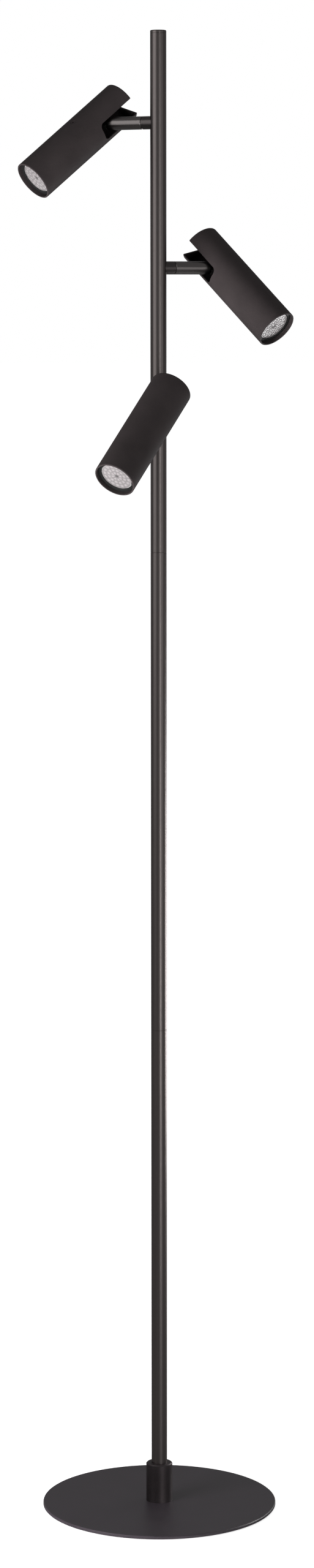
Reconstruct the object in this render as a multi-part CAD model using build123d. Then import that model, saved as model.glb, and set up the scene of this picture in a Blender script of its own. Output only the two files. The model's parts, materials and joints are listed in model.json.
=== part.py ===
from build123d import *
import os

# Reading floor lamp: a round foot, a pole in three sections and three spot heads on short side arms.
# Millimetres, +Z up, origin on the floor on the pole's axis.
# An arm or a head is modelled along +X from the pole's axis, level and in line, then turned to its pose.

# Poses: name, direction of the arm about the pole, swivel about the arm and tilt about the hinge, degrees
HEADS = (
    ("upper", 152.0, 48.0, 67.5),
    ("middle", 30.0, -46.5, 72.5),
    ("lower", 270.0, -31.0, 51.0),
)

# Clearances
FIT = 0.05
RUNNING_FIT = 0.05
MOVING_GAP = 0.3
SCREW_CLEARANCE = 0.2

# Heights along the pole
TOTAL_HEIGHT = 1500.0
TOP_TO_UPPER_ARM = 90.0
ARM_SPACING = 142.5
UPPER_SECTION_LENGTH = 515.0

# Foot
BASE_DIAMETER = 240.0
BASE_EDGE_RADIUS = 1.0
BASE_LOWER_CHAMFER = 0.6
BASE_LAND = 1.0
PAD_THICKNESS = 1.0
PAD_INSET = 4.0
BASE_SCREW_DIAMETER = 6.0
BASE_SCREW_HEAD_DIAMETER = 11.0
BASE_SCREW_KEY = 4.0
BASE_SCREW_KEY_DEPTH = 2.0

# Socket that the pole stands in
SOCKET_HEIGHT = 40.0
SOCKET_WALL = 5.45
SOCKET_FLOOR = 8.0
SOCKET_CHAMFER = 1.0
SOCKET_SCREW_BITE = 7.0
GRUB_DIAMETER = 4.0
GRUB_FROM_TOP = 6.0
GRUB_KEY = 2.0
GRUB_KEY_DEPTH = 2.0

# Bush for the mains lead, at the back of the socket
LEAD_BORE = 6.2
BUSH_WALL = 1.4
BUSH_FLANGE_WIDTH = 1.5
BUSH_FLANGE_THICKNESS = 2.0
BUSH_FLANGE_RADIUS = 0.8
BUSH_FROM_FLOOR = 15.0
BUSH_SEAT_DEPTH = 1.5

# Pole
POLE_DIAMETER = 16.0
POLE_WALL = 1.2
SECTION_EDGE = 0.2
CAP_HEIGHT = 3.0
CAP_EDGE_RADIUS = 1.2
CAP_SPIGOT_LENGTH = 12.0
INSERT_LENGTH = 22.0
INSERT_WALL = 1.7
NIPPLE_LENGTH = 36.0
NIPPLE_WALL = 1.0

# Arms
ARM_DIAMETER = 13.0
ARM_WALL = 1.0
STUB_LENGTH = 9.0
STUB_SHOULDER = 1.6
STUB_EDGE = 0.3
BACK_CLEARANCE = 17.0
SWIVEL_BUSH_WALL = 1.4
SWIVEL_BUSH_LENGTH = 12.0
SWIVEL_NIPPLE_WALL = 1.2
SWIVEL_NIPPLE_SET_IN = 0.5
SWIVEL_NIPPLE_STAND = 1.0
SWIVEL_WASHER_THICKNESS = 0.8
SWIVEL_NUT_LENGTH = 4.0
LUG_LENGTH = 1.5
LUG_WIDTH = 1.2
LUG_ROOT = 0.5
KNUCKLE_THICKNESS = 6.0
KNUCKLE_GAP = 2.0
KNUCKLE_NECK = 6.5

# Hinge in each head
PIN_DIAMETER = 5.0
PIN_HEAD_DIAMETER = 9.0
PIN_HEAD_HEIGHT = 1.6
HINGE_WASHER_THICKNESS = 0.5
HINGE_WASHER_DIAMETER = 11.0
EAR_THICKNESS = 2.0
EAR_RADIUS = 6.5
EAR_CLEARANCE = 1.5
EAR_LENGTH = 30.7
BULKHEAD_THICKNESS = 2.0
WIRE_HOLE_DIAMETER = 8.0
TAB_LENGTH = 14.0
TAB_WIDTH = 10.0
TAB_THICKNESS = 2.0
TAB_TURN = 90.0

# Head tube
HEAD_BACK = 37.5
HEAD_WALL = 1.5
HEAD_EDGE = 0.4
SLOT_WIDTH = 19.0
SLOT_CORNER = 5.0
SLOT_END_CLEARANCE = 1.5
REAR_WALL = 1.5
REAR_EDGE = 1.5
RIM_RECESS = 4.0

# Small screws in each head
SCREW_DIAMETER = 3.0
SCREW_HEAD_DIAMETER = 5.5
SCREW_HEAD_HEIGHT = 1.6
SCREW_HEAD_EDGE = 0.4
SCREW_CROSS_LENGTH = 3.0
SCREW_CROSS_WIDTH = 0.8
SCREW_CROSS_DEPTH = 0.9
SCREW_SINK = 0.25

# Lampholder and lamp
HOLDER_DIAMETER = 26.0
HOLDER_LENGTH = 16.0
HOLDER_EDGE = 1.0
HOLDER_SCREW_SPACING = 17.0
HOLDER_SINK_DEPTH = 2.2
LAMP_PIN_SPACING = 10.0
LAMP_PIN_HEAD_DIAMETER = 5.0
LAMP_PIN_HEAD_LENGTH = 4.0
LAMP_PIN_NECK_DIAMETER = 3.0
LAMP_PIN_NECK_LENGTH = 3.0
LAMP_PIN_HOLE_CLEARANCE = 0.4
LAMP_DIAMETER = 34.8
LAMP_LENGTH = 38.0
LAMP_NECK_DIAMETER = 22.0
LAMP_NECK_LENGTH = 10.0
LAMP_RIM_LENGTH = 7.0
LENS_DIAMETER = 32.0
LENS_THICKNESS = 3.5
LENS_PROUD = 0.8
LENS_EDGE_RADIUS = 0.6
RING_SKIRT_WALL = 1.85
RING_SKIRT_CLEARANCE = 0.2
RING_LENGTH = 9.0
RING_LIP = 1.4
RING_LIP_CHAMFER = 0.6

# Foot and socket, worked out from the sizes above
BASE_SCREW_HEAD_HEIGHT = (BASE_SCREW_HEAD_DIAMETER - BASE_SCREW_DIAMETER) / 2
BASE_TOP = PAD_THICKNESS + BASE_SCREW_HEAD_HEIGHT + BASE_LAND
SOCKET_TOP = BASE_TOP + SOCKET_HEIGHT
POLE_FOOT = BASE_TOP + SOCKET_FLOOR
POLE_R = POLE_DIAMETER / 2
POLE_BORE_R = POLE_R - POLE_WALL
SOCKET_BORE_R = POLE_R + FIT
SOCKET_R = SOCKET_BORE_R + SOCKET_WALL
LEAD_BORE_R = LEAD_BORE / 2
BUSH_R = LEAD_BORE_R + BUSH_WALL
BUSH_FLANGE_R = BUSH_R + BUSH_FLANGE_WIDTH
BUSH_HEIGHT = POLE_FOOT + BUSH_FROM_FLOOR
BUSH_SEAT = SOCKET_R - BUSH_SEAT_DEPTH

# Pole, worked out
POLE_TOP = TOTAL_HEIGHT - CAP_HEIGHT
UPPER_JOINT = TOTAL_HEIGHT - UPPER_SECTION_LENGTH
LOWER_JOINT = (POLE_FOOT + UPPER_JOINT) / 2
INSERT_R = POLE_BORE_R - FIT
NIPPLE_R = INSERT_R - INSERT_WALL

# Arm, worked out as distances from the pole's axis
ARM_R = ARM_DIAMETER / 2
ARM_BORE_R = ARM_R - ARM_WALL
STUB_SPIGOT_R = ARM_R - STUB_SHOULDER
STUB_END = POLE_R + STUB_LENGTH
ARM_START = STUB_END + MOVING_GAP
SWIVEL_BUSH_START = ARM_START + LUG_LENGTH + MOVING_GAP
SWIVEL_BUSH_END = SWIVEL_BUSH_START + SWIVEL_BUSH_LENGTH
SWIVEL_WASHER_START = SWIVEL_BUSH_END + RUNNING_FIT
SWIVEL_NUT_START = SWIVEL_WASHER_START + SWIVEL_WASHER_THICKNESS
SWIVEL_NUT_END = SWIVEL_NUT_START + SWIVEL_NUT_LENGTH
SWIVEL_NIPPLE_END = SWIVEL_NUT_END + SWIVEL_NIPPLE_STAND
SWIVEL_BUSH_R = ARM_BORE_R - FIT
SWIVEL_NIPPLE_R = SWIVEL_BUSH_R - SWIVEL_BUSH_WALL - RUNNING_FIT
SWIVEL_NUT_R = ARM_BORE_R - MOVING_GAP
ARM_REACH = STUB_END + BACK_CLEARANCE + HEAD_BACK
ARM_END = ARM_REACH - EAR_RADIUS - EAR_CLEARANCE - KNUCKLE_NECK

# Head, worked out as distances from the hinge pin along the head's axis
PIN_R = PIN_DIAMETER / 2
HINGE_WASHER_SEAT = KNUCKLE_THICKNESS / 2 + RUNNING_FIT
EAR_SEAT = HINGE_WASHER_SEAT + HINGE_WASHER_THICKNESS + FIT
EAR_OUTER = EAR_SEAT + EAR_THICKNESS
SLOT_END = ARM_R + SLOT_END_CLEARANCE
NOTCH_END = SLOT_WIDTH / 2
HOLDER_START = EAR_LENGTH + BULKHEAD_THICKNESS
HOLDER_END = HOLDER_START + HOLDER_LENGTH
LAMP_START = HOLDER_END + MOVING_GAP
LAMP_END = LAMP_START + LAMP_LENGTH
RING_END = LAMP_END + FIT + RING_LIP
HEAD_FRONT = RING_END + RIM_RECESS
LAMP_R = LAMP_DIAMETER / 2
LENS_R = LENS_DIAMETER / 2
RING_BORE_R = LAMP_R + RING_SKIRT_CLEARANCE
RING_R = RING_BORE_R + RING_SKIRT_WALL
HEAD_BORE_R = RING_R + FIT
HEAD_R = HEAD_BORE_R + HEAD_WALL
BULKHEAD_R = HEAD_BORE_R - FIT
SCREW_R = SCREW_DIAMETER / 2
SCREW_HEAD_R = SCREW_HEAD_DIAMETER / 2
BRACKET_SCREW_AT = EAR_LENGTH - TAB_LENGTH / 2

ON_END = (Align.CENTER, Align.CENTER, Align.MIN)


def post(radius, bottom, top):
    """Round bar along +Z between two heights."""
    return Pos(0, 0, bottom) * Cylinder(radius, top - bottom, align=ON_END)


def rod(radius, start, end):
    """Round bar along +X between two distances."""
    return Pos(start, 0, 0) * Rot(0, 90, 0) * Cylinder(radius, end - start, align=ON_END)


def cross_bar(radius, start, end):
    """Round bar along +Y between two distances."""
    return Pos(0, start, 0) * Rot(-90, 0, 0) * Cylinder(radius, end - start, align=ON_END)


def block(low, high):
    """Box between two corners."""
    middle = [(a + b) / 2 for a, b in zip(low, high)]
    return Pos(*middle) * Box(*[b - a for a, b in zip(low, high)])


def hexagon(across_flats, depth):
    """Six-sided key recess, standing on the ground plane."""
    return extrude(RegularPolygon(across_flats / 2, 6, major_radius=False), depth)


def countersunk(shank_r, head_r, length):
    """Screw with a 90 degree countersunk head, standing on its head."""
    return Cone(head_r, shank_r, head_r - shank_r, align=ON_END) + post(shank_r, 0, length)


def turned(points):
    """Solid of revolution about +X from (distance, radius) points."""
    return revolve(make_face(Polyline(*points, close=True)), Axis.X)


def group(solids):
    """Several equal pieces kept in one node."""
    return Compound(list(solids))


def arm_height(index):
    return TOTAL_HEIGHT - TOP_TO_UPPER_ARM - index * ARM_SPACING


def stub_place(index):
    """From the level arm at the origin to the fixed stub's place on the pole."""
    return Pos(0, 0, arm_height(index)) * Rot(0, 0, HEADS[index][1])


def arm_place(index):
    """The stub's place with the arm's swivel added."""
    return stub_place(index) * Rot(HEADS[index][2], 0, 0)


def head_place(index):
    """The arm's place with the hinge's tilt added."""
    return arm_place(index) * Pos(ARM_REACH, 0, 0) * Rot(0, HEADS[index][3], 0)


# Foot
def make_base_pad():
    return post(BASE_DIAMETER / 2 - PAD_INSET, 0, PAD_THICKNESS)


def base_screw_shape(clearance):
    """Screw into the socket, grown by a clearance for its hole."""
    length = BASE_TOP + SOCKET_SCREW_BITE - PAD_THICKNESS
    shank_r = BASE_SCREW_DIAMETER / 2 + clearance
    head_r = BASE_SCREW_HEAD_DIAMETER / 2 + clearance
    return Pos(0, 0, PAD_THICKNESS) * countersunk(shank_r, head_r, length)


def make_base_plate():
    plate = post(BASE_DIAMETER / 2, PAD_THICKNESS, BASE_TOP)
    plate = fillet(plate.edges().group_by(Axis.Z)[-1], BASE_EDGE_RADIUS)
    plate = chamfer(plate.edges().group_by(Axis.Z)[0], BASE_LOWER_CHAMFER)
    return plate - base_screw_shape(SCREW_CLEARANCE)


def make_base_screw():
    key = hexagon(BASE_SCREW_KEY, BASE_SCREW_KEY_DEPTH)
    return base_screw_shape(0) - Pos(0, 0, PAD_THICKNESS) * key


# Socket, its grub screw and the bush for the mains lead
def grub_axis():
    """Place of a piece modelled along +Y at the grub screw's height."""
    return Pos(0, 0, SOCKET_TOP - GRUB_FROM_TOP)


def bush_axis():
    """Place of a piece modelled along +Y at the bush's height."""
    return Pos(0, 0, BUSH_HEIGHT)


def make_base_socket():
    body = post(SOCKET_R, BASE_TOP, SOCKET_TOP)
    body = chamfer(body.edges().group_by(Axis.Z)[-1], SOCKET_CHAMFER)
    body -= post(SOCKET_BORE_R, POLE_FOOT, SOCKET_TOP)
    body -= post(BASE_SCREW_DIAMETER / 2 + FIT, BASE_TOP, POLE_FOOT)
    body -= grub_axis() * cross_bar(GRUB_DIAMETER / 2 + FIT, 0, SOCKET_R)
    body -= bush_axis() * cross_bar(BUSH_R + FIT, 0, SOCKET_R)
    return body - bush_axis() * cross_bar(BUSH_FLANGE_R + FIT, BUSH_SEAT, SOCKET_R)


def make_socket_grub_screw():
    screw = cross_bar(GRUB_DIAMETER / 2, POLE_R + FIT, SOCKET_R - FIT)
    key = Pos(0, SOCKET_R - FIT, 0) * Rot(90, 0, 0) * hexagon(GRUB_KEY, GRUB_KEY_DEPTH)
    return grub_axis() * (screw - key)


def make_cable_bush():
    flange_end = BUSH_SEAT + BUSH_FLANGE_THICKNESS
    flange = cross_bar(BUSH_FLANGE_R, BUSH_SEAT, flange_end)
    flange = fillet(flange.edges().group_by(Axis.Y)[-1], BUSH_FLANGE_RADIUS)
    bush = flange + cross_bar(BUSH_R, POLE_BORE_R, BUSH_SEAT)
    return bush_axis() * (bush - cross_bar(LEAD_BORE_R, 0, flange_end))


# Pole
def pole_section(bottom, top):
    """Tube with its outer end edges broken, which shows as a fine line at each joint."""
    tube = post(POLE_R, bottom, top)
    tube = chamfer(tube.edges().filter_by(GeomType.CIRCLE), SECTION_EDGE)
    return tube - post(POLE_BORE_R, bottom, top)


def make_pole_lower():
    tube = pole_section(POLE_FOOT, LOWER_JOINT)
    return tube - bush_axis() * cross_bar(BUSH_R + FIT, 0, POLE_R)


def make_pole_middle():
    return pole_section(LOWER_JOINT, UPPER_JOINT)


def make_pole_upper():
    tube = pole_section(UPPER_JOINT, POLE_TOP)
    for index in range(len(HEADS)):
        tube -= stub_place(index) * rod(STUB_SPIGOT_R + FIT, 0, POLE_R)
    return tube


def make_pole_inserts():
    blank = post(INSERT_R, 0, INSERT_LENGTH) - post(NIPPLE_R + FIT, 0, INSERT_LENGTH)
    joints = (LOWER_JOINT, UPPER_JOINT)
    return group(Pos(0, 0, z + side) * blank for z in joints for side in (-INSERT_LENGTH, 0))


def make_pole_nipples():
    half = NIPPLE_LENGTH / 2
    blank = post(NIPPLE_R, -half, half) - post(NIPPLE_R - NIPPLE_WALL, -half, half)
    return group(Pos(0, 0, z) * blank for z in (LOWER_JOINT, UPPER_JOINT))


def make_pole_cap():
    cap = post(POLE_R, POLE_TOP, TOTAL_HEIGHT)
    cap = fillet(cap.edges().group_by(Axis.Z)[-1], CAP_EDGE_RADIUS)
    return cap + post(POLE_BORE_R - FIT, POLE_TOP - CAP_SPIGOT_LENGTH, POLE_TOP)


# Arm stub and the swivel's fixed pieces, level along +X
def stop_lug(start, end, side):
    """Small stop in the ring-shaped room between the swivel nipple and the arm's bore."""
    inner = SWIVEL_NIPPLE_R + MOVING_GAP
    outer = ARM_BORE_R - MOVING_GAP
    low, high = sorted((side * inner, side * outer))
    return block((start, -LUG_WIDTH / 2, low), (end, LUG_WIDTH / 2, high))


def make_arm_stub():
    stub = rod(ARM_R, 0, STUB_END)
    stub = chamfer(stub.edges().group_by(Axis.X)[-1], STUB_EDGE)
    stub -= post(POLE_R + FIT, -ARM_DIAMETER, ARM_DIAMETER)
    stub += rod(STUB_SPIGOT_R, POLE_BORE_R, STUB_END - STUB_EDGE)
    stub -= rod(SWIVEL_NIPPLE_R + FIT, 0, STUB_END)
    return stub + stop_lug(STUB_END - LUG_ROOT, SWIVEL_BUSH_START - MOVING_GAP, 1)


def make_swivel_nipple():
    start = POLE_R + SWIVEL_NIPPLE_SET_IN
    bore = rod(SWIVEL_NIPPLE_R - SWIVEL_NIPPLE_WALL, start, SWIVEL_NIPPLE_END)
    return rod(SWIVEL_NIPPLE_R, start, SWIVEL_NIPPLE_END) - bore


def swivel_ring(start, end):
    return rod(SWIVEL_NUT_R, start, end) - rod(SWIVEL_NIPPLE_R + FIT, start, end)


# Turning arm, level along +X
def make_arm_tube():
    tube = rod(ARM_R, ARM_START, ARM_END)
    tube = chamfer(tube.edges().group_by(Axis.X)[0], STUB_EDGE)
    return tube - rod(ARM_BORE_R, ARM_START, ARM_END)


def make_arm_bush():
    bush = rod(SWIVEL_BUSH_R, SWIVEL_BUSH_START, SWIVEL_BUSH_END)
    bush -= rod(SWIVEL_NIPPLE_R + RUNNING_FIT, SWIVEL_BUSH_START, SWIVEL_BUSH_END)
    return bush + stop_lug(ARM_START, SWIVEL_BUSH_START + LUG_ROOT, -1)


def make_arm_knuckle():
    bar = rod(ARM_BORE_R - FIT, SWIVEL_NIPPLE_END + KNUCKLE_GAP, ARM_END)
    bar += block((ARM_END, -ARM_R, -ARM_R), (ARM_REACH, ARM_R, ARM_R))
    bar += Pos(ARM_REACH, 0, 0) * cross_bar(ARM_R, -ARM_R, ARM_R)
    half = KNUCKLE_THICKNESS / 2
    flat = block((0, -half, -ARM_R), (ARM_REACH + ARM_R, half, ARM_R))
    return (bar & flat) - Pos(ARM_REACH, 0, 0) * cross_bar(PIN_R + RUNNING_FIT, -half, half)


# Head, in line along +X with the hinge pin on Y at the origin and the slot below
def bracket_screw_place():
    """Middle of the screw head's flat face, just under the tube's skin and a quarter turn from the slot."""
    return Rot(TAB_TURN, 0, 0) * Pos(BRACKET_SCREW_AT, 0, SCREW_SINK - HEAD_R)


def head_slot():
    """Slot for the arm from its front end out through the rear wall, where it reaches past the middle."""
    slot = block((-HEAD_BACK, -SLOT_WIDTH / 2, -HEAD_R), (SLOT_END, SLOT_WIDTH / 2, 0))
    slot = fillet(slot.edges().filter_by(Axis.Z).group_by(Axis.X)[-1], SLOT_CORNER)
    notch = block((-HEAD_BACK, -SLOT_WIDTH / 2, 0), (REAR_WALL - HEAD_BACK, SLOT_WIDTH / 2, NOTCH_END))
    notch = fillet(notch.edges().filter_by(Axis.X).group_by(Axis.Z)[-1], SLOT_CORNER)
    return slot + notch


def make_head_tube():
    tube = rod(HEAD_R, -HEAD_BACK, HEAD_FRONT)
    tube = chamfer(tube.edges().filter_by(GeomType.CIRCLE).sort_by(Axis.X)[-1], HEAD_EDGE)
    tube = fillet(tube.edges().filter_by(GeomType.CIRCLE).sort_by(Axis.X)[0], REAR_EDGE)
    tube -= rod(HEAD_BORE_R, REAR_WALL - HEAD_BACK, HEAD_FRONT)
    tube -= head_slot()
    head_r = SCREW_HEAD_R + SCREW_CLEARANCE
    tube -= bracket_screw_place() * countersunk(SCREW_R + SCREW_CLEARANCE, head_r, HEAD_R)
    return tube - bracket_screw_place() * post(head_r, -SCREW_SINK, 0)


def make_hinge_bracket():
    bracket = rod(BULKHEAD_R, EAR_LENGTH, HOLDER_START)
    ears = block((0, -EAR_OUTER, -EAR_RADIUS), (EAR_LENGTH, EAR_OUTER, EAR_RADIUS))
    ears += cross_bar(EAR_RADIUS, -EAR_OUTER, EAR_OUTER)
    ears -= block((-EAR_RADIUS, -EAR_SEAT, -EAR_RADIUS), (EAR_LENGTH, EAR_SEAT, EAR_RADIUS))
    bracket += ears - cross_bar(PIN_R + FIT, -EAR_OUTER, EAR_OUTER)
    tab_start = EAR_LENGTH - TAB_LENGTH
    shell = rod(BULKHEAD_R, tab_start, EAR_LENGTH) - rod(BULKHEAD_R - TAB_THICKNESS, tab_start, EAR_LENGTH)
    strip = block((tab_start, -TAB_WIDTH / 2, -BULKHEAD_R), (EAR_LENGTH, TAB_WIDTH / 2, 0))
    tab = (shell & strip) - Pos(BRACKET_SCREW_AT, 0, 0) * post(SCREW_R + FIT, -BULKHEAD_R, 0)
    bracket += Rot(TAB_TURN, 0, 0) * tab
    bracket -= rod(WIRE_HOLE_DIAMETER / 2, EAR_LENGTH, HOLDER_START)
    for side in (-1, 1):
        hole = rod(SCREW_R + FIT, EAR_LENGTH, HOLDER_START)
        bracket -= Pos(0, 0, side * HOLDER_SCREW_SPACING / 2) * hole
    return bracket


def make_hinge_pin():
    seat = EAR_OUTER + FIT
    pin = cross_bar(PIN_R, -seat, seat)
    for side in (-1, 1):
        low, high = sorted((side * seat, side * (seat + PIN_HEAD_HEIGHT)))
        pin += cross_bar(PIN_HEAD_DIAMETER / 2, low, high)
    return pin


def make_hinge_washers():
    end = HINGE_WASHER_SEAT + HINGE_WASHER_THICKNESS
    ring = cross_bar(HINGE_WASHER_DIAMETER / 2, HINGE_WASHER_SEAT, end)
    ring -= cross_bar(PIN_R + FIT, HINGE_WASHER_SEAT, end)
    return group((ring, Rot(0, 0, 180) * ring))


def cross_recess():
    """Driver's cross, centred on the ground plane."""
    bar = Box(SCREW_CROSS_LENGTH, SCREW_CROSS_WIDTH, 2 * SCREW_CROSS_DEPTH)
    return bar + Rot(0, 0, 90) * bar


def pan_screw(length):
    """Screw with its pan head below the ground plane and a plain shank up from it."""
    head = post(SCREW_HEAD_R, -SCREW_HEAD_HEIGHT, 0)
    head = chamfer(head.edges().group_by(Axis.Z)[0], SCREW_HEAD_EDGE)
    head -= Pos(0, 0, -SCREW_HEAD_HEIGHT) * cross_recess()
    return head + post(SCREW_R, 0, length)


def make_bracket_screw():
    length = HEAD_WALL - SCREW_SINK + FIT + TAB_THICKNESS
    return bracket_screw_place() * (countersunk(SCREW_R, SCREW_HEAD_R, length) - cross_recess())


def holder_screw_places():
    """Head seats of the two screws, which point back towards the hinge."""
    seat = HOLDER_END - HOLDER_SINK_DEPTH
    return [Pos(seat, 0, side * HOLDER_SCREW_SPACING / 2) * Rot(0, -90, 0) for side in (-1, 1)]


def make_lampholder():
    holder = rod(HOLDER_DIAMETER / 2, HOLDER_START, HOLDER_END)
    holder = chamfer(holder.edges().group_by(Axis.X)[-1], HOLDER_EDGE)
    for place in holder_screw_places():
        holder -= place * post(SCREW_HEAD_R + SCREW_CLEARANCE, -HOLDER_SINK_DEPTH, 0)
        holder -= place * post(SCREW_R + SCREW_CLEARANCE, 0, HOLDER_LENGTH)
    hole_r = LAMP_PIN_HEAD_DIAMETER / 2 + LAMP_PIN_HOLE_CLEARANCE
    depth = LAMP_PIN_HEAD_LENGTH + LAMP_PIN_NECK_LENGTH + LAMP_PIN_HOLE_CLEARANCE
    for side in (-1, 1):
        hole = rod(hole_r, HOLDER_END - depth, HOLDER_END)
        holder -= Pos(0, side * LAMP_PIN_SPACING / 2, 0) * hole
    return holder


def make_holder_screws():
    length = HOLDER_LENGTH - HOLDER_SINK_DEPTH + BULKHEAD_THICKNESS
    return group(place * pan_screw(length) for place in holder_screw_places())


def make_lamp_body():
    cone_start = LAMP_START + LAMP_NECK_LENGTH
    rim_start = LAMP_END - LAMP_RIM_LENGTH
    seat = LAMP_END + LENS_PROUD - LENS_THICKNESS - FIT
    seat_r = LENS_R + FIT
    neck_r = LAMP_NECK_DIAMETER / 2
    return turned([
        (LAMP_START, 0),
        (LAMP_START, neck_r),
        (cone_start, neck_r),
        (rim_start, LAMP_R),
        (LAMP_END, LAMP_R),
        (LAMP_END, seat_r),
        (seat, seat_r),
        (seat, 0),
    ])


def make_lamp_pins():
    neck_start = LAMP_START - LAMP_PIN_NECK_LENGTH
    pin = rod(LAMP_PIN_NECK_DIAMETER / 2, neck_start, LAMP_START)
    pin += rod(LAMP_PIN_HEAD_DIAMETER / 2, neck_start - LAMP_PIN_HEAD_LENGTH, neck_start)
    return group(Pos(0, side * LAMP_PIN_SPACING / 2, 0) * pin for side in (-1, 1))


def make_lamp_lens():
    front = LAMP_END + LENS_PROUD
    lens = rod(LENS_R, front - LENS_THICKNESS, front)
    return fillet(lens.edges().group_by(Axis.X)[-1], LENS_EDGE_RADIUS)


def make_front_ring():
    lip_start = LAMP_END + FIT
    lip_r = LENS_R + MOVING_GAP
    skirt_start = RING_END - RING_LENGTH
    return turned([
        (skirt_start, RING_BORE_R),
        (skirt_start, RING_R),
        (RING_END, RING_R),
        (RING_END, lip_r + RING_LIP_CHAMFER),
        (RING_END - RING_LIP_CHAMFER, lip_r),
        (lip_start, lip_r),
        (lip_start, RING_BORE_R),
    ])


STAND_PIECES = {
    "base_pad": make_base_pad,
    "base_plate": make_base_plate,
    "base_screw": make_base_screw,
    "base_socket": make_base_socket,
    "socket_grub_screw": make_socket_grub_screw,
    "cable_bush": make_cable_bush,
    "pole_lower": make_pole_lower,
    "pole_middle": make_pole_middle,
    "pole_upper": make_pole_upper,
    "pole_inserts": make_pole_inserts,
    "pole_nipples": make_pole_nipples,
    "pole_cap": make_pole_cap,
}
SWIVEL_FASTENERS = {
    "swivel_nipples": make_swivel_nipple(),
    "swivel_washers": swivel_ring(SWIVEL_WASHER_START, SWIVEL_NUT_START),
    "swivel_nuts": swivel_ring(SWIVEL_NUT_START, SWIVEL_NUT_END),
}
ARM_PIECES = {
    "arm_tube": make_arm_tube(),
    "arm_bush": make_arm_bush(),
    "arm_knuckle": make_arm_knuckle(),
}
HEAD_PIECES = {
    "head_tube": make_head_tube(),
    "hinge_bracket": make_hinge_bracket(),
    "hinge_pin": make_hinge_pin(),
    "hinge_washers": make_hinge_washers(),
    "bracket_screw": make_bracket_screw(),
    "lampholder": make_lampholder(),
    "holder_screws": make_holder_screws(),
    "front_ring": make_front_ring(),
    "lamp_body": make_lamp_body(),
    "lamp_pins": make_lamp_pins(),
    "lamp_lens": make_lamp_lens(),
}


def all_nodes():
    """Every piece of the lamp at its place, by node name."""
    nodes = {name: make() for name, make in STAND_PIECES.items()}
    for name, piece in SWIVEL_FASTENERS.items():
        nodes[name] = group(stub_place(index) * piece for index in range(len(HEADS)))
    stub = make_arm_stub()
    for index, (side, _, _, _) in enumerate(HEADS):
        nodes[f"{side}_arm_stub"] = stub_place(index) * stub
        for name, piece in ARM_PIECES.items():
            nodes[f"{side}_{name}"] = arm_place(index) * piece
        for name, piece in HEAD_PIECES.items():
            nodes[f"{side}_{name}"] = head_place(index) * piece
    return nodes


os.makedirs("parts", exist_ok=True)
for node, shape in all_nodes().items():
    export_step(shape, f"parts/{node}.step")
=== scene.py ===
"""Reading floor lamp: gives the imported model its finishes, adds the pressed lenses and sets up the studio."""

import json
import math

import bmesh
import bpy
from bpy.props import FloatProperty, FloatVectorProperty, PointerProperty
from mathutils import Matrix, Vector


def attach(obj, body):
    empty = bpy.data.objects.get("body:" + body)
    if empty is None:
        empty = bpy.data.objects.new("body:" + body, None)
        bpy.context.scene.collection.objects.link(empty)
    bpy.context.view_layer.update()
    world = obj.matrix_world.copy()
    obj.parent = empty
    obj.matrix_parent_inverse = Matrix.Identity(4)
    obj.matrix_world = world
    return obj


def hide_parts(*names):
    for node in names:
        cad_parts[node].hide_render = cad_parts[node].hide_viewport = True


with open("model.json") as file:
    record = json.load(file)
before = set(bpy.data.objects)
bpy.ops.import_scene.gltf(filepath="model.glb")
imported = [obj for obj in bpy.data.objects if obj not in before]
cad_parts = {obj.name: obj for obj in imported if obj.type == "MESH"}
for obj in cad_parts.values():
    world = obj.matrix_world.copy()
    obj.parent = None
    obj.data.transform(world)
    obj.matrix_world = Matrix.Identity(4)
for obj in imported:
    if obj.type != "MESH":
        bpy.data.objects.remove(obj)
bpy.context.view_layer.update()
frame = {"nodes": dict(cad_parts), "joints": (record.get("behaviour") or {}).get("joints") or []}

bl_info = {
    "name": "Reading Floor Lamp",
    "version": (1, 0, 0),
    "blender": (4, 5, 0),
    "location": "View3D > Sidebar > Floor Lamp",
    "description": "Finishes, lenses and studio of a reading floor lamp with three spot heads",
    "category": "Object",
}

SIDES = ("upper", "middle", "lower")
MM = 0.001
X_AXIS = 0
Z_AXIS = 2
WHITE = (1.0, 1.0, 1.0, 1.0)

# Noise of the finishes: its detail, the size of its clouds in grains, their share, and the values in use
GRAIN_DETAIL = 3.0
CLOUD_DETAIL = 2.0
CLOUD_GRAINS = 40
CLOUD_SHARE = 0.5
NOISE_LOW = 0.3
NOISE_HIGH = 0.7

# Satin tubes: width and height of the fine drawn lines
LINE_WIDTH = 0.9 * MM
LINE_RELIEF = 0.001 * MM

# Pressed lens: facets in the middle and in each ring, and how finely they are drawn
LENS_FACETS = (1, 8, 12, 16)
LENS_TURN_STEPS = 96
LENS_FACET_STEPS = 6
LENS_SHARP_ANGLE = math.radians(24)

# Share of the lens's rim that rises from the facets
RIM_RISE = 0.2

# Level of the pressed pattern, 0 at a facet's edges and 1 at its crown, and how far the dish's colour is
# darkened as painted shade
LEVEL = "level"
DISH_LEVEL = -1.0
DISH_PAINTED_SHADE = 0.25

# Long side of the camera's picture in millimetres, and how many corners the round floor has
SENSOR_SIDE = 36.0
FLOOR_CORNERS = 128

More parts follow.
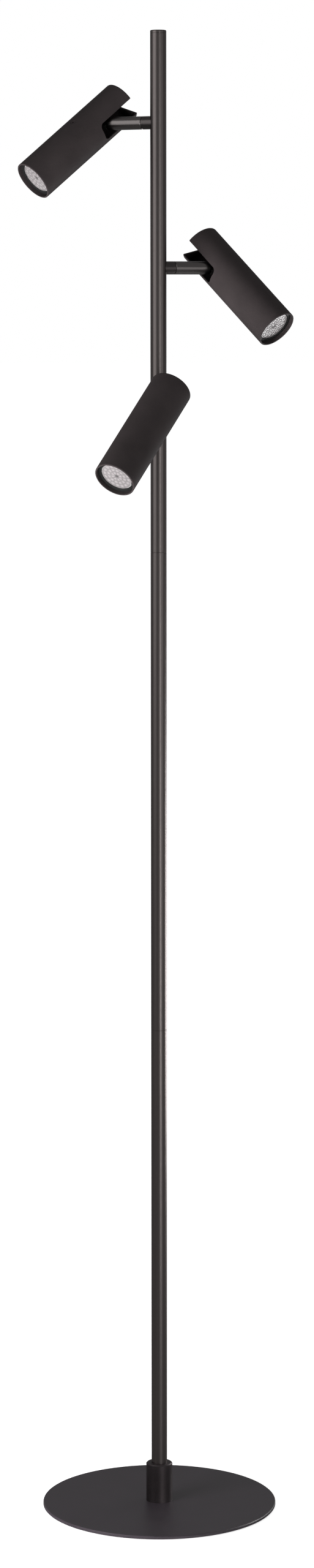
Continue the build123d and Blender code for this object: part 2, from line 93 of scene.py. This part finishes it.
# Studio lights: name, place, point they face, width and height, power, and whether they light and reflect
SOFTBOXES = (
    ("left_softbox", (-1.72, -1.2, 1.8), (0.0, 0.0, 1.5), (1.8, 2.2), 13.0, False, True),
    ("right_softbox", (1.7, -1.05, 1.0), (0.0, 0.0, 1.2), (0.7, 1.2), 1.6, False, True),
    ("right_strip", (1.3, -2.6, 0.75), (0.0, 0.0, 0.75), (0.4, 1.6), 8.0, True, True),
    ("low_right_strip", (0.85, -1.5, 0.16), (0.0, 0.0, 0.15), (0.35, 0.3), 1.6, False, True),
    ("low_left_fill", (-1.2, -1.15, 0.3), (0.0, 0.0, 1.25), (1.0, 1.0), 74.0, True, False),
    ("low_back_softbox", (0.83, 0.72, 0.40), (0.12, -0.06, 1.17), (0.5, 0.5), 5.5, False, True),
)


class LampFinishes(bpy.types.PropertyGroup):
    """Colours and grain of the lamp's finishes."""

    foot_colour: FloatVectorProperty(
        name="Foot",
        description="Powder coat of the foot plate",
        subtype="COLOR",
        default=(0.0370, 0.0296, 0.0364),
        min=0.0,
        max=1.0,
    )
    collar_colour: FloatVectorProperty(
        name="Collar",
        description="Coat of the collar that holds the pole",
        subtype="COLOR",
        default=(0.108, 0.093, 0.097),
        min=0.0,
        max=1.0,
    )
    pole_colour: FloatVectorProperty(
        name="Pole",
        description="Satin gunmetal coat of the pole",
        subtype="COLOR",
        default=(0.19, 0.168, 0.164),
        min=0.0,
        max=1.0,
    )
    arm_colour: FloatVectorProperty(
        name="Arms",
        description="Satin coat of the turning arms",
        subtype="COLOR",
        default=(0.195, 0.179, 0.176),
        min=0.0,
        max=1.0,
    )
    stub_shaded_colour: FloatVectorProperty(
        name="Stubs",
        # Satin coat of the fixed arm stubs, darker than the arms as painted shade
        description="Satin coat of the fixed arm stubs, darker than the arms",
        subtype="COLOR",
        default=(0.105, 0.094, 0.093),
        min=0.0,
        max=1.0,
    )
    head_colour: FloatVectorProperty(
        name="Heads",
        description="Matt warm black coat of the head tubes",
        subtype="COLOR",
        default=(0.0345, 0.0283, 0.0290),
        min=0.0,
        max=1.0,
    )
    lens_colour: FloatVectorProperty(
        name="Lenses",
        description="Pale pressed lens of each lamp",
        subtype="COLOR",
        default=(0.245, 0.228, 0.231),
        min=0.0,
        max=1.0,
    )
    coat_grain: FloatProperty(
        name="Coat grain",
        description="Size of the grain in the powder coat",
        unit="LENGTH",
        default=0.6 * MM,
        min=0.05 * MM,
    )
    line_length: FloatProperty(
        name="Drawn lines",
        description="Length of the fine lines along the tubes",
        unit="LENGTH",
        default=150 * MM,
        min=MM,
    )


class LensSizes(bpy.types.PropertyGroup):
    """Sizes of the pressed pattern on each lens."""

    rim: FloatProperty(
        name="Rim",
        description="Width of the plain rim round the facets",
        unit="LENGTH",
        default=1.0 * MM,
        min=0.1 * MM,
    )
    relief: FloatProperty(
        name="Relief",
        description="Height of each facet's crown above its edges",
        unit="LENGTH",
        default=0.45 * MM,
        min=0.0,
    )
    edge: FloatProperty(
        name="Edge",
        description="Radius of the lens's front edge",
        unit="LENGTH",
        default=0.6 * MM,
        min=0.0,
    )


class StudioSettings(bpy.types.PropertyGroup):
    """Camera, floor and light."""

    camera_place: FloatVectorProperty(
        name="Camera",
        description="Where the camera stands",
        subtype="TRANSLATION",
        unit="LENGTH",
        default=(0.170, -3.900, 1.250),
    )
    camera_pitch: FloatProperty(
        name="Pitch",
        description="How far the camera looks down",
        subtype="ANGLE",
        default=math.radians(7.29),
    )
    camera_yaw: FloatProperty(
        name="Yaw",
        description="How far the camera is turned to the left",
        subtype="ANGLE",
        default=math.radians(2.5225),
    )
    camera_roll: FloatProperty(
        name="Roll",
        description="How far the camera leans to the right",
        subtype="ANGLE",
        default=math.radians(0.05),
    )
    camera_lens: FloatProperty(
        name="Lens",
        description="Focal length for a 36 mm long side",
        unit="CAMERA",
        default=89.44,
        min=1.0,
    )
    floor_radius: FloatProperty(
        name="Floor",
        description="Radius of the floor",
        unit="LENGTH",
        default=60.0,
        min=1.0,
    )
    floor_colour: FloatVectorProperty(
        name="Floor colour",
        description="Pale paper floor",
        subtype="COLOR",
        default=(0.86, 0.86, 0.86),
        min=0.0,
        max=1.0,
    )
    floor_glow: FloatProperty(
        name="Floor glow",
        description="Light of the lit table under the floor paper",
        default=0.75,
        min=0.0,
    )
    sky_top: FloatProperty(
        name="Light from above",
        description="Strength of the soft light straight above",
        default=0.45,
        min=0.0,
    )
    sky_mirrored: FloatProperty(
        name="Reflections from above",
        description="Strength of the light straight above as glossy pieces mirror it",
        default=0.20,
        min=0.0,
    )
    sky_reach: FloatProperty(
        name="Reach of reflections",
        description="Height, as a share of straight up, from which glossy pieces mirror that strength",
        default=0.35,
        min=0.01,
        max=1.0,
    )
    sky_side: FloatProperty(
        name="Light from the sides",
        description="Strength of the soft light at the horizon",
        default=0.15,
        min=0.0,
    )


def node_object(name):
    """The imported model's object for a node."""
    if name not in frame["nodes"]:
        raise RuntimeError(f"the packed model has no node {name}")
    return frame["nodes"][name]


def joint(name):
    """The record's entry for a joint."""
    return next(entry for entry in frame["joints"] if entry["name"] == name)


def on_each_side(*pieces):
    """Node names of these pieces on all three arms or heads."""
    return [f"{side}_{piece}" for side in SIDES for piece in pieces]


def dress(names, material):
    """Puts one finish on whole nodes."""
    for name in names:
        mesh = node_object(name).data
        mesh.materials.clear()
        mesh.materials.append(material)


def new_finish(name, colour, grain, tone, roughness, relief, stretch=(1.0, 1.0, 1.0), turn=0.0, **sockets):
    """Node material with a fine grain and a broad cloudiness that stay with the piece.

    grain is the size and relief the height of the grain in metres, tone the share by which the colour
    varies, roughness its lowest and highest value, and stretch the grain's length along each axis in
    grains, with the axes turned about +Z. Other sockets of the shader are set by name.
    """
    material = bpy.data.materials.new(name)
    material.use_nodes = True
    tree = material.node_tree
    shader = tree.nodes["Principled BSDF"]
    for socket, value in sockets.items():
        shader.inputs[socket.replace("_", " ")].default_value = value

    place = tree.nodes.new("ShaderNodeTexCoord")
    mapping = tree.nodes.new("ShaderNodeMapping")
    mapping.vector_type = "TEXTURE"
    mapping.inputs["Rotation"].default_value = (0.0, 0.0, turn)
    mapping.inputs["Scale"].default_value = stretch
    fine = tree.nodes.new("ShaderNodeTexNoise")
    fine.inputs["Scale"].default_value = 1 / grain
    fine.inputs["Detail"].default_value = GRAIN_DETAIL
    cloud = tree.nodes.new("ShaderNodeTexNoise")
    cloud.inputs["Scale"].default_value = 1 / (CLOUD_GRAINS * grain)
    cloud.inputs["Detail"].default_value = CLOUD_DETAIL
    tree.links.new(place.outputs["Object"], mapping.inputs["Vector"])
    tree.links.new(mapping.outputs["Vector"], fine.inputs["Vector"])
    tree.links.new(mapping.outputs["Vector"], cloud.inputs["Vector"])

    cloud_part = tree.nodes.new("ShaderNodeMath")
    cloud_part.operation = "MULTIPLY"
    cloud_part.inputs[1].default_value = CLOUD_SHARE
    blend = tree.nodes.new("ShaderNodeMath")
    blend.operation = "MULTIPLY_ADD"
    blend.inputs[1].default_value = 1 - CLOUD_SHARE
    tree.links.new(cloud.outputs["Fac"], cloud_part.inputs[0])
    tree.links.new(fine.outputs["Fac"], blend.inputs[0])
    tree.links.new(cloud_part.outputs["Value"], blend.inputs[2])

    tint = tree.nodes.new("ShaderNodeValToRGB")
    dark, pale = tint.color_ramp.elements
    dark.position = NOISE_LOW
    dark.color = (*[part * (1 - tone) for part in colour], 1.0)
    pale.position = NOISE_HIGH
    pale.color = (*[min(1.0, part * (1 + tone)) for part in colour], 1.0)
    tree.links.new(blend.outputs["Value"], tint.inputs["Fac"])
    tree.links.new(tint.outputs["Color"], shader.inputs["Base Color"])

    gloss = tree.nodes.new("ShaderNodeMapRange")
    gloss.inputs["From Min"].default_value = NOISE_LOW
    gloss.inputs["From Max"].default_value = NOISE_HIGH
    gloss.inputs["To Min"].default_value = roughness[0]
    gloss.inputs["To Max"].default_value = roughness[1]
    tree.links.new(blend.outputs["Value"], gloss.inputs["Value"])
    tree.links.new(gloss.outputs["Result"], shader.inputs["Roughness"])

    bump = tree.nodes.new("ShaderNodeBump")
    bump.inputs["Strength"].default_value = 1.0
    bump.inputs["Distance"].default_value = relief
    tree.links.new(fine.outputs["Fac"], bump.inputs["Height"])
    tree.links.new(bump.outputs["Normal"], shader.inputs["Normal"])
    return material


def shared_finish(name, colour, **look):
    """Finish on pieces of several groups, made by the first of them."""
    return bpy.data.materials.get(name) or new_finish(name, colour, **look)


def plated_finish():
    """Zinc plating on the small steel pieces."""
    return shared_finish(
        "zinc_plate",
        (0.55, 0.54, 0.51),
        grain=0.5 * MM,
        tone=0.12,
        roughness=(0.28, 0.42),
        relief=0.004 * MM,
        Metallic=1.0,
    )


def blackened_finish():
    """Blackened steel of the grub screw, the knuckles and the hinge brackets."""
    return shared_finish(
        "blackened_steel",
        (0.05, 0.048, 0.047),
        grain=0.4 * MM,
        tone=0.2,
        roughness=(0.38, 0.5),
        relief=0.006 * MM,
        Metallic=0.9,
    )


def moulded_finish():
    """Moulded black plastic with a fine spark-eroded texture."""
    return shared_finish(
        "moulded_black",
        (0.012, 0.012, 0.012),
        grain=0.25 * MM,
        tone=0.2,
        roughness=(0.45, 0.6),
        relief=0.012 * MM,
        Specular_IOR_Level=0.35,
    )


def satin_tube(name, colour, roughness, line_length, axis, turn=0.0):
    """Satin metallic coat with fine drawn lines along one axis, turned about +Z."""
    stretch = [1.0, 1.0, 1.0]
    stretch[axis] = line_length / LINE_WIDTH
    return new_finish(
        name,
        colour,
        grain=LINE_WIDTH,
        tone=0.10,
        roughness=roughness,
        relief=LINE_RELIEF,
        stretch=stretch,
        turn=turn,
        Metallic=1.0,
    )


class LAMP_OT_foot(bpy.types.Operator):
    """Finish the foot plate, the pad under it and its screw"""

    bl_idname = "lamp.foot"
    bl_label = "Foot"

    def execute(self, context):
        finishes = context.scene.lamp_finishes
        coat = new_finish(
            "foot_powder_coat",
            finishes.foot_colour,
            grain=finishes.coat_grain,
            tone=0.18,
            roughness=(0.40, 0.48),
            relief=0.02 * MM,
            Specular_IOR_Level=0.65,
        )
        rubber = new_finish(
            "pad_rubber",
            (0.022, 0.022, 0.022),
            grain=1.2 * MM,
            tone=0.25,
            roughness=(0.75, 0.9),
            relief=0.08 * MM,
        )
        dress(["base_plate"], coat)
        dress(["base_pad"], rubber)
        dress(["base_screw"], plated_finish())
        return {"FINISHED"}


class LAMP_OT_collar(bpy.types.Operator):
    """Finish the collar that holds the pole, its grub screw and the bush for the lead"""

    bl_idname = "lamp.collar"
    bl_label = "Collar"

    def execute(self, context):
        finishes = context.scene.lamp_finishes
        coat = new_finish(
            "collar_coat",
            finishes.collar_colour,
            grain=finishes.coat_grain,
            tone=0.18,
            roughness=(0.44, 0.52),
            relief=0.01 * MM,
            Metallic=1.0,
        )
        dress(["base_socket"], coat)
        dress(["socket_grub_screw"], blackened_finish())
        dress(["cable_bush"], moulded_finish())
        return {"FINISHED"}


class LAMP_OT_pole(bpy.types.Operator):
    """Finish the pole's sections, its end cap and the pieces inside its joints"""

    bl_idname = "lamp.pole"
    bl_label = "Pole"

    def execute(self, context):
        finishes = context.scene.lamp_finishes
        coat = satin_tube(
            "pole_satin_coat",
            finishes.pole_colour,
            roughness=(0.33, 0.39),
            line_length=finishes.line_length,
            axis=Z_AXIS,
        )
        dress(["pole_lower", "pole_middle", "pole_upper", "pole_cap"], coat)
        dress(["pole_inserts", "pole_nipples"], plated_finish())
        return {"FINISHED"}


class LAMP_OT_arms(bpy.types.Operator):
    """Finish the arm stubs, the turning arms and the swivels inside them"""

    bl_idname = "lamp.arms"
    bl_label = "Arms"

    def execute(self, context):
        finishes = context.scene.lamp_finishes
        for side in SIDES:
            along = joint(f"{side}_swivel")["axis"]
            lines = {
                "line_length": finishes.line_length,
                "axis": X_AXIS,
                "turn": math.atan2(along[1], along[0]),
            }
            name = f"{side}_arm_satin_coat"
            coat = satin_tube(name, finishes.arm_colour, roughness=(0.24, 0.30), **lines)
            dress([f"{side}_arm_tube"], coat)
            # The stubs' colour is darker than the arms' as painted shade
            name = f"{side}_stub_satin_coat"
            coat = satin_tube(name, finishes.stub_shaded_colour, roughness=(0.30, 0.36), **lines)
            dress([f"{side}_arm_stub"], coat)
        brass = new_finish(
            "turned_brass",
            (0.62, 0.45, 0.20),
            grain=0.3 * MM,
            tone=0.1,
            roughness=(0.22, 0.34),
            relief=0.004 * MM,
            Metallic=1.0,
        )
        dress(on_each_side("arm_knuckle"), blackened_finish())
        dress(on_each_side("arm_bush") + ["swivel_nuts"], brass)
        dress(["swivel_nipples", "swivel_washers"], plated_finish())
        return {"FINISHED"}


class LAMP_OT_heads(bpy.types.Operator):
    """Finish the head tubes, the screws in them and the rings in their mouths"""

    bl_idname = "lamp.heads"
    bl_label = "Heads"

    def execute(self, context):
        finishes = context.scene.lamp_finishes
        coat = new_finish(
            "head_powder_coat",
            finishes.head_colour,
            grain=finishes.coat_grain,
            tone=0.2,
            roughness=(0.58, 0.70),
            relief=0.025 * MM,
            Specular_IOR_Level=0.1,
        )
        dress(on_each_side("head_tube", "bracket_screw"), coat)
        dress(on_each_side("front_ring"), moulded_finish())
        return {"FINISHED"}


class LAMP_OT_hinges(bpy.types.Operator):
    """Finish the hinge brackets, pins and washers"""

    bl_idname = "lamp.hinges"
    bl_label = "Hinges"

    def execute(self, context):
        nylon = new_finish(
            "natural_nylon",
            (0.62, 0.60, 0.54),
            grain=0.5 * MM,
            tone=0.06,
            roughness=(0.4, 0.52),
            relief=0.006 * MM,
            Subsurface_Weight=0.1,
        )
        dress(on_each_side("hinge_bracket"), blackened_finish())
        dress(on_each_side("hinge_pin"), plated_finish())
        dress(on_each_side("hinge_washers"), nylon)
        return {"FINISHED"}


def head_matrix(side):
    """Frame of a head: +Z along its axis to the front, origin on the hinge pin."""
    tilt = joint(f"{side}_tilt")
    arm = Vector(joint(f"{side}_swivel")["axis"])
    pin = Vector(tilt["axis"])
    axis = Matrix.Rotation(math.radians(-tilt["range_deg"][0]), 3, pin) @ arm
    columns = Matrix((axis.cross(pin), pin, axis)).transposed()
    return Matrix.Translation(tilt["pos_m"]) @ columns.to_4x4()


def facet_height(ring, share, turn, relief):
    """Height of the pressed pattern, 0 at a facet's edges and relief at its crown, with a dish in the middle.

    share runs from -1 to 1 across the ring, or from 0 to 1 out from the middle, and turn from 0 to 1 round
    the lens.
    """
    if ring == 0:
        return relief * (share**2 - 1)
    stagger = 0.5 * (ring % 2)
    across = 2 * ((turn * LENS_FACETS[ring] + stagger) % 1) - 1
    return relief * (1 - share**2) * (1 - across**2)


def lens_profile(radius, depth, sizes):
    """Rows of (radius, heights round the lens), from the middle of its front to the middle of its back."""
    face_radius = radius - sizes.rim
    width = face_radius / (len(LENS_FACETS) - 0.5)
    turns = [step / LENS_TURN_STEPS for step in range(LENS_TURN_STEPS)]
    rows = []
    for ring in range(len(LENS_FACETS)):
        inner = 0.0 if ring == 0 else (ring - 0.5) * width
        outer = (ring + 0.5) * width
        for step in range(LENS_FACET_STEPS):
            along = step / LENS_FACET_STEPS
            share = along if ring == 0 else 2 * along - 1
            heights = [facet_height(ring, share, turn, sizes.relief) - sizes.relief for turn in turns]
            rows.append((inner + (outer - inner) * along, heights))
    rows.append((face_radius, [-sizes.relief] * LENS_TURN_STEPS))
    rows.append((face_radius + RIM_RISE * sizes.rim, [0.0] * LENS_TURN_STEPS))
    for step in range(LENS_FACET_STEPS + 1):
        angle = math.pi / 2 * step / LENS_FACET_STEPS
        out = radius - sizes.edge * (1 - math.sin(angle))
        rows.append((out, [-sizes.edge * (1 - math.cos(angle))] * LENS_TURN_STEPS))
    rows.append((radius, [-depth] * LENS_TURN_STEPS))
    rows.append((0.0, [-depth] * LENS_TURN_STEPS))
    return rows


def lens_mesh(name, radius, depth, sizes):
    """Closed lens with a pressed front and its rim at height 0. Each point keeps the pattern's level, from
    which the finish paints shade.
    """
    build = bmesh.new()
    rows = []
    for out, heights in lens_profile(radius, depth, sizes):
        if out == 0.0:
            rows.append([build.verts.new((0.0, 0.0, heights[0]))])
            continue
        ring = []
        for step, height in enumerate(heights):
            angle = 2 * math.pi * step / LENS_TURN_STEPS
            ring.append(build.verts.new((out * math.cos(angle), out * math.sin(angle), height)))
        rows.append(ring)
    for inner, outer in zip(rows, rows[1:]):
        for step in range(LENS_TURN_STEPS):
            after = (step + 1) % LENS_TURN_STEPS
            if len(inner) == 1:
                build.faces.new((inner[0], outer[step], outer[after]))
            elif len(outer) == 1:
                build.faces.new((inner[after], inner[step], outer[0]))
            else:
                build.faces.new((inner[step], outer[step], outer[after], inner[after]))
    bmesh.ops.recalc_face_normals(build, faces=build.faces)
    mesh = bpy.data.meshes.new(name)
    build.to_mesh(mesh)
    build.free()
    level = mesh.attributes.new(LEVEL, "FLOAT", "POINT")
    for vertex, point in zip(mesh.vertices, level.data):
        point.value = max(DISH_LEVEL, 1 + vertex.co.z / sizes.relief)
    mesh.shade_smooth()
    mesh.set_sharp_from_angle(angle=LENS_SHARP_ANGLE)
    return mesh


def lens_finish(colour):
    """Pale pressed glass, with painted shade that darkens its colour in the valleys between the facets and in
    the dish.
    """
    glass = new_finish(
        "pressed_lens",
        colour,
        grain=1.6 * MM,
        tone=0.16,
        roughness=(0.10, 0.22),
        relief=0.01 * MM,
        IOR=1.5,
    )
    tree = glass.node_tree
    base = tree.nodes["Principled BSDF"].inputs["Base Color"]
    tint = base.links[0].from_socket
    # Painted shade: the pattern's level scales the colour down in the valleys and the dish
    level = tree.nodes.new("ShaderNodeAttribute")
    level.attribute_name = LEVEL
    shade = tree.nodes.new("ShaderNodeMapRange")
    shade.inputs["From Min"].default_value = DISH_LEVEL
    shade.inputs["To Min"].default_value = DISH_PAINTED_SHADE
    painted_shade = tree.nodes.new("ShaderNodeVectorMath")
    painted_shade.operation = "SCALE"
    tree.links.new(level.outputs["Fac"], shade.inputs["Value"])
    tree.links.new(tint, painted_shade.inputs["Vector"])
    tree.links.new(shade.outputs["Result"], painted_shade.inputs["Scale"])
    tree.links.new(painted_shade.outputs["Vector"], base)
    return glass


class LAMP_OT_lamps(bpy.types.Operator):
    """Finish the lampholders and lamps, and make the pressed lens of each lamp"""

    bl_idname = "lamp.lamps"
    bl_label = "Lamps"

    def execute(self, context):
        finishes = context.scene.lamp_finishes
        steatite = new_finish(
            "steatite",
            (0.70, 0.66, 0.58),
            grain=0.4 * MM,
            tone=0.1,
            roughness=(0.6, 0.75),
            relief=0.02 * MM,
        )
        housing = new_finish(
            "lamp_housing",
            (0.70, 0.70, 0.69),
            grain=0.4 * MM,
            tone=0.04,
            roughness=(0.35, 0.45),
            relief=0.008 * MM,
        )
        dress(on_each_side("lampholder"), steatite)
        dress(on_each_side("holder_screws", "lamp_pins"), plated_finish())
        dress(on_each_side("lamp_body"), housing)
        glass = lens_finish(finishes.lens_colour)
        for side in SIDES:
            self.make_lens(context, side, glass)
        return {"FINISHED"}

    def make_lens(self, context, side, glass):
        """The lens stands where its plain solid does, so its sizes are read from that."""
        node = f"{side}_lamp_lens"
        place = head_matrix(side)
        corners = [place.inverted() @ vertex.co for vertex in node_object(node).data.vertices]
        front = max(corner.z for corner in corners)
        depth = front - min(corner.z for corner in corners)
        radius = max(corner.xy.length for corner in corners)
        mesh = lens_mesh(f"{side}_pressed_lens", radius, depth, context.scene.lamp_lens)
        mesh.materials.append(glass)
        lens = bpy.data.objects.new(mesh.name, mesh)
        context.scene.collection.objects.link(lens)
        lens.matrix_world = place @ Matrix.Translation((0.0, 0.0, front))
        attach(lens, f"{side}_head")
        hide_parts(node)


class LAMP_OT_stage(bpy.types.Operator):
    """Set up the camera, the pale floor and the soft studio light"""

    bl_idname = "lamp.stage"
    bl_label = "Stage"

    def execute(self, context):
        studio = context.scene.lamp_studio
        self.make_camera(context, studio)
        self.make_floor(context, studio)
        self.make_sky(context, studio)
        for softbox in SOFTBOXES:
            self.make_softbox(context, *softbox)
        context.scene.view_settings.view_transform = "Standard"
        return {"FINISHED"}

    def make_camera(self, context, studio):
        """Camera at the photograph's viewing angle."""
        camera = bpy.data.cameras.new("studio_camera")
        camera.sensor_width = SENSOR_SIDE
        camera.lens = studio.camera_lens
        stand = bpy.data.objects.new("studio_camera", camera)
        context.scene.collection.objects.link(stand)
        turn = Matrix.Rotation(studio.camera_yaw, 4, "Z")
        turn @= Matrix.Rotation(math.pi / 2 - studio.camera_pitch, 4, "X")
        turn @= Matrix.Rotation(-studio.camera_roll, 4, "Z")
        stand.matrix_world = Matrix.Translation(studio.camera_place) @ turn
        context.scene.camera = stand

    def make_floor(self, context, studio):
        """Pale paper floor, lit from below, that the lamp doesn't mirror."""
        build = bmesh.new()
        bmesh.ops.create_circle(build, cap_ends=True, segments=FLOOR_CORNERS, radius=studio.floor_radius)
        mesh = bpy.data.meshes.new("studio_floor")
        build.to_mesh(mesh)
        build.free()
        floor = bpy.data.objects.new("studio_floor", mesh)
        context.scene.collection.objects.link(floor)
        paper = new_finish(
            "floor_paper",
            studio.floor_colour,
            grain=4 * MM,
            tone=0.01,
            roughness=(0.9, 1.0),
            relief=0.0,
            Emission_Color=WHITE,
            Emission_Strength=studio.floor_glow,
        )
        mesh.materials.append(paper)
        floor.visible_glossy = False

    def make_sky(self, context, studio):
        """Soft light that is strongest from above.

        Glossy pieces mirror a darker and more even sky, and the camera sees plain white behind the lamp.
        """
        world = bpy.data.worlds.new("studio_light")
        context.scene.world = world
        world.use_nodes = True
        tree = world.node_tree
        path = tree.nodes.new("ShaderNodeLightPath")
        top = tree.nodes.new("ShaderNodeMapRange")
        top.inputs["To Min"].default_value = studio.sky_top
        top.inputs["To Max"].default_value = studio.sky_mirrored
        reach = tree.nodes.new("ShaderNodeMapRange")
        reach.inputs["To Min"].default_value = 1.0
        reach.inputs["To Max"].default_value = studio.sky_reach
        tree.links.new(path.outputs["Is Glossy Ray"], top.inputs["Value"])
        tree.links.new(path.outputs["Is Glossy Ray"], reach.inputs["Value"])

        place = tree.nodes.new("ShaderNodeTexCoord")
        axes = tree.nodes.new("ShaderNodeSeparateXYZ")
        strength = tree.nodes.new("ShaderNodeMapRange")
        strength.interpolation_type = "SMOOTHERSTEP"
        strength.inputs["To Min"].default_value = studio.sky_side
        tree.links.new(place.outputs["Generated"], axes.inputs["Vector"])
        tree.links.new(axes.outputs["Z"], strength.inputs["Value"])
        tree.links.new(top.outputs["Result"], strength.inputs["To Max"])
        tree.links.new(reach.outputs["Result"], strength.inputs["From Max"])

        light = tree.nodes["Background"]
        light.inputs["Color"].default_value = WHITE
        backdrop = tree.nodes.new("ShaderNodeBackground")
        backdrop.inputs["Color"].default_value = WHITE
        mix = tree.nodes.new("ShaderNodeMixShader")
        tree.links.new(strength.outputs["Result"], light.inputs["Strength"])
        tree.links.new(path.outputs["Is Camera Ray"], mix.inputs["Fac"])
        tree.links.new(light.outputs["Background"], mix.inputs[1])
        tree.links.new(backdrop.outputs["Background"], mix.inputs[2])
        tree.links.new(mix.outputs["Shader"], tree.nodes["World Output"].inputs["Surface"])

    def make_softbox(self, context, name, place, target, size, power, lights, reflects):
        """Rectangular light that faces a point and stays out of the picture."""
        light = bpy.data.lights.new(name, "AREA")
        light.shape = "RECTANGLE"
        light.size, light.size_y = size
        light.energy = power
        box = bpy.data.objects.new(name, light)
        context.scene.collection.objects.link(box)
        box.location = place
        box.rotation_euler = (Vector(target) - Vector(place)).to_track_quat("-Z", "Y").to_euler()
        box.visible_camera = False
        box.visible_diffuse = lights
        box.visible_glossy = reflects


class LAMP_PT_panel(bpy.types.Panel):
    """Steps that build the dressed lamp"""

    bl_idname = "LAMP_PT_panel"
    bl_label = "Reading Floor Lamp"
    bl_space_type = "VIEW_3D"
    bl_region_type = "UI"
    bl_category = "Floor Lamp"

    def draw(self, context):
        for step in STEPS:
            self.layout.operator(step.bl_idname)
        for group in (context.scene.lamp_finishes, context.scene.lamp_lens, context.scene.lamp_studio):
            box = self.layout.box()
            for name in group.__annotations__:
                box.prop(group, name)


STEPS = (
    LAMP_OT_stage,
    LAMP_OT_foot,
    LAMP_OT_collar,
    LAMP_OT_pole,
    LAMP_OT_arms,
    LAMP_OT_heads,
    LAMP_OT_hinges,
    LAMP_OT_lamps,
)
SETTINGS = {
    "lamp_finishes": LampFinishes,
    "lamp_lens": LensSizes,
    "lamp_studio": StudioSettings,
}


def register():
    for group in SETTINGS.values():
        bpy.utils.register_class(group)
    for step in STEPS:
        bpy.utils.register_class(step)
    bpy.utils.register_class(LAMP_PT_panel)
    for name, group in SETTINGS.items():
        setattr(bpy.types.Scene, name, PointerProperty(type=group))


def unregister():
    for name in SETTINGS:
        delattr(bpy.types.Scene, name)
    bpy.utils.unregister_class(LAMP_PT_panel)
    for step in reversed(STEPS):
        bpy.utils.unregister_class(step)
    for group in reversed(SETTINGS.values()):
        bpy.utils.unregister_class(group)


def main():
    register()
    bpy.ops.lamp.stage()
    bpy.ops.lamp.foot()
    bpy.ops.lamp.collar()
    bpy.ops.lamp.pole()
    bpy.ops.lamp.arms()
    bpy.ops.lamp.heads()
    bpy.ops.lamp.hinges()
    bpy.ops.lamp.lamps()


if __name__ == "__main__":
    main()
